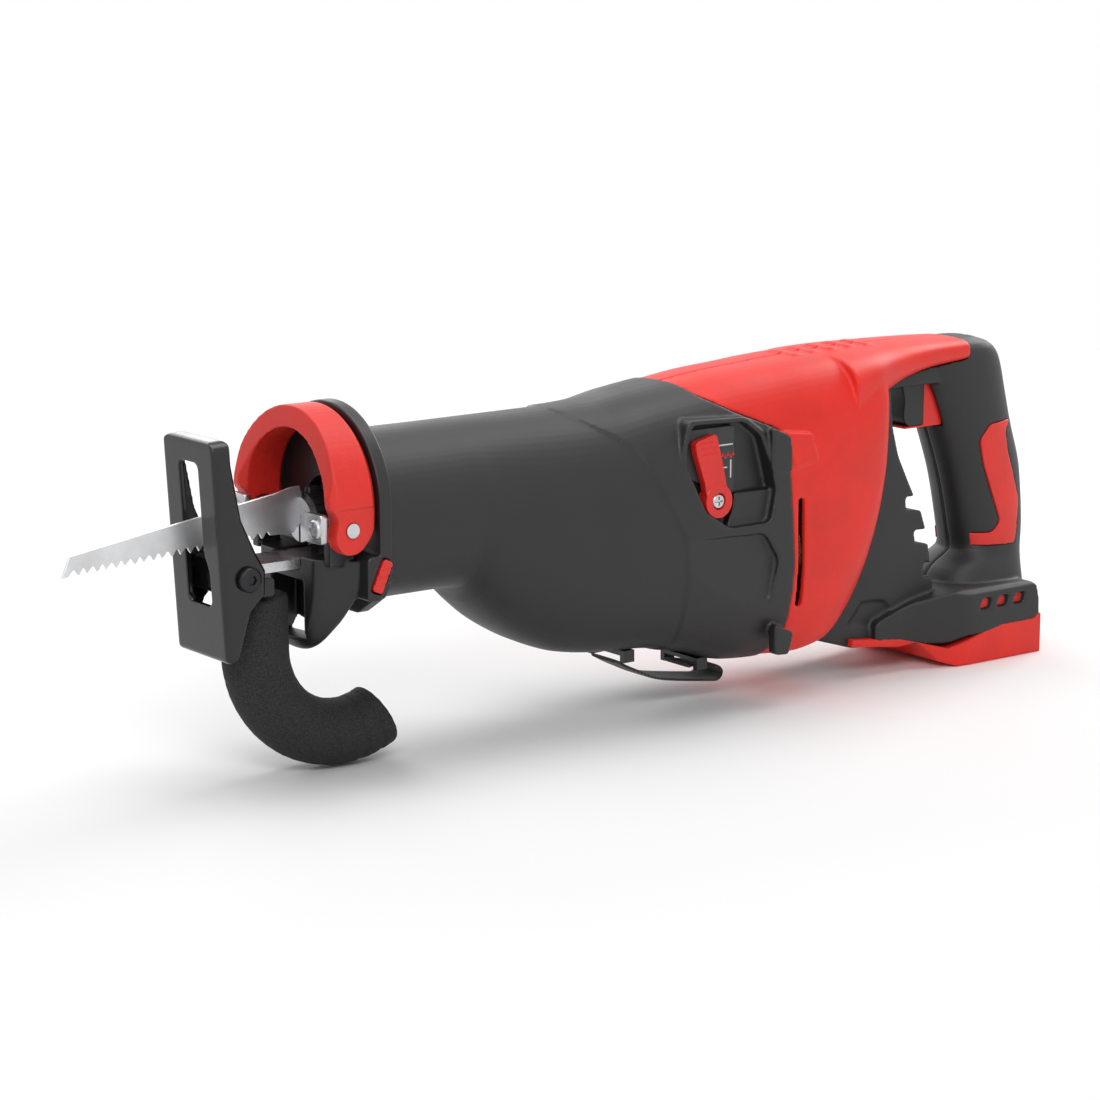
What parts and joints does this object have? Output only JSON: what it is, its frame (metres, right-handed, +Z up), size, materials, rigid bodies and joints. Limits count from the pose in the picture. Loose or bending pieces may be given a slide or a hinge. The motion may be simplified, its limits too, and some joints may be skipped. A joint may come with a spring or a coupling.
{
  "type": "reciprocating saw",
  "caption": "Cordless reciprocating saw with a rear D-handle, red motor housing, black gear cover, tilting shoe, foam hook and a toothed blade.",
  "frame": {"origin": "centre of the overall box in plan, at the height of the surface that the battery foot and the front hook stand on", "axes": "+X to the rear handle (the blade points along -X), +Z up, +Y to the side without the stroke lever"},
  "size_m": [0.5194, 0.082, 0.154],
  "materials": {
    "soft_black": "satin moulded soft cover",
    "handle_black": "fine textured soft grip",
    "housing_red": "fine spark-eroded texture",
    "inlay_red": "satin",
    "bow_red": "textured",
    "lever_red": "satin",
    "trim_black": "satin",
    "webbing": "woven",
    "cast_alloy": "cast and machined",
    "steel": "machined",
    "blade_steel": "ground satin",
    "screw_steel": "black oxide",
    "shoe_paint": "glossy powder coat",
    "foam": "closed-cell foam",
    "bronze": "sintered",
    "copper": "bare",
    "seal_rubber": "matte",
    "circuit_board": "satin"
  },
  "bodies": {
    "housing": {"gear_cover": "soft_black", "gear_case": "cast_alloy", "nose_collar": "soft_black", "motor_housing_left": "housing_red", "motor_housing_right": "housing_red", "handle_shell_left": "handle_black", "handle_shell_right": "handle_black", "grip_inlay_left": "inlay_red", "grip_inlay_right": "inlay_red", "battery_foot": "housing_red", "terminal_block": "trim_black", "battery_contacts": "copper", "housing_screws": "screw_steel", "stroke_dial": "trim_black", "strap": "webbing", "strap_anchor": "trim_black", "motor_stator": "steel", "stator_windings": "copper", "control_board": "circuit_board", "trigger_switch": "trim_black", "rotor_bearing_front": "steel", "rotor_bearing_rear": "steel", "spindle_bearing_upper": "steel", "spindle_bearing_lower": "steel", "plunger_bush_front": "bronze", "plunger_bush_rear": "bronze", "plunger_seal": "seal_rubber", "bow_pivot_pins": "steel", "bow_return_wire": "steel"},
    "rotor": {"rotor_shaft": "steel", "rotor_core": "cast_alloy", "motor_fan": "trim_black", "motor_pinion": "steel"},
    "crank": {"face_gear": "steel", "crank_spindle": "steel", "crank_roller": "steel", "counterweight": "cast_alloy"},
    "plunger": {"plunger_rod": "steel", "crank_yoke": "steel", "clamp_body": "steel", "clamp_spring": "steel", "saw_blade": "blade_steel"},
    "clamp_sleeve": {"clamp_sleeve": "trim_black"},
    "shoe_carrier": {"shoe_bar": "steel", "shoe_bracket": "shoe_paint", "hook_rod": "steel", "foam_sleeve": "foam", "shoe_pivot_bolt": "screw_steel"},
    "shoe": {"shoe": "shoe_paint"},
    "release_bow": {"release_bow": "bow_red", "bow_cam_plates": "steel"},
    "shoe_button": {"shoe_release_button": "lever_red"},
    "stroke_lever": {"stroke_lever": "lever_red", "stroke_lever_screw": "steel", "stroke_shaft": "steel"},
    "trigger": {"trigger_front": "trim_black", "trigger_body": "lever_red"}
  },
  "joints": [
    {"name": "crank_spin", "type": "hinge", "parent": "housing", "child": "crank", "pos_m": [-0.02, 0, 0.075], "axis": [0, 0, 1], "continuous": true},
    {"name": "rotor_spin", "type": "hinge", "parent": "housing", "child": "rotor", "pos_m": [0.115, 0, 0.064], "axis": [1, 0, 0], "continuous": true},
    {"name": "plunger_stroke", "type": "slide", "parent": "housing", "child": "plunger", "axis": [1, 0, 0], "range_m": [-0.016, 0.016]},
    {"name": "clamp_twist", "type": "hinge", "parent": "plunger", "child": "clamp_sleeve", "pos_m": [-0.14, 0, 0.106], "axis": [1, 0, 0], "range_deg": [0, 30]},
    {"name": "shoe_depth", "type": "slide", "parent": "housing", "child": "shoe_carrier", "axis": [-1, 0, 0], "range_m": [0, 0.02]},
    {"name": "shoe_tilt", "type": "hinge", "parent": "shoe_carrier", "child": "shoe", "pos_m": [-0.187, 0, 0.089], "axis": [0, 1, 0], "range_deg": [-2, 6]},
    {"name": "bow_swing", "type": "hinge", "parent": "housing", "child": "release_bow", "pos_m": [-0.149, 0, 0.107], "axis": [0, -1, 0], "range_deg": [0, 28], "stiffness_Nm_per_rad": 0.3},
    {"name": "shoe_button_press", "type": "slide", "parent": "housing", "child": "shoe_button", "axis": [0, 1, 0], "range_m": [0, 0.003], "stiffness_N_per_m": 300},
    {"name": "stroke_lever_turn", "type": "hinge", "parent": "housing", "child": "stroke_lever", "pos_m": [0.04, -0.041, 0.098], "axis": [0, 1, 0], "range_deg": [0, 60]},
    {"name": "trigger_pull", "type": "slide", "parent": "housing", "child": "trigger", "axis": [1, 0, 0], "range_m": [0, 0.006], "stiffness_N_per_m": 800}
  ],
  "couplings": [
    {"joint": "rotor_spin", "follows": "crank_spin", "ratio": -4}
  ]
}
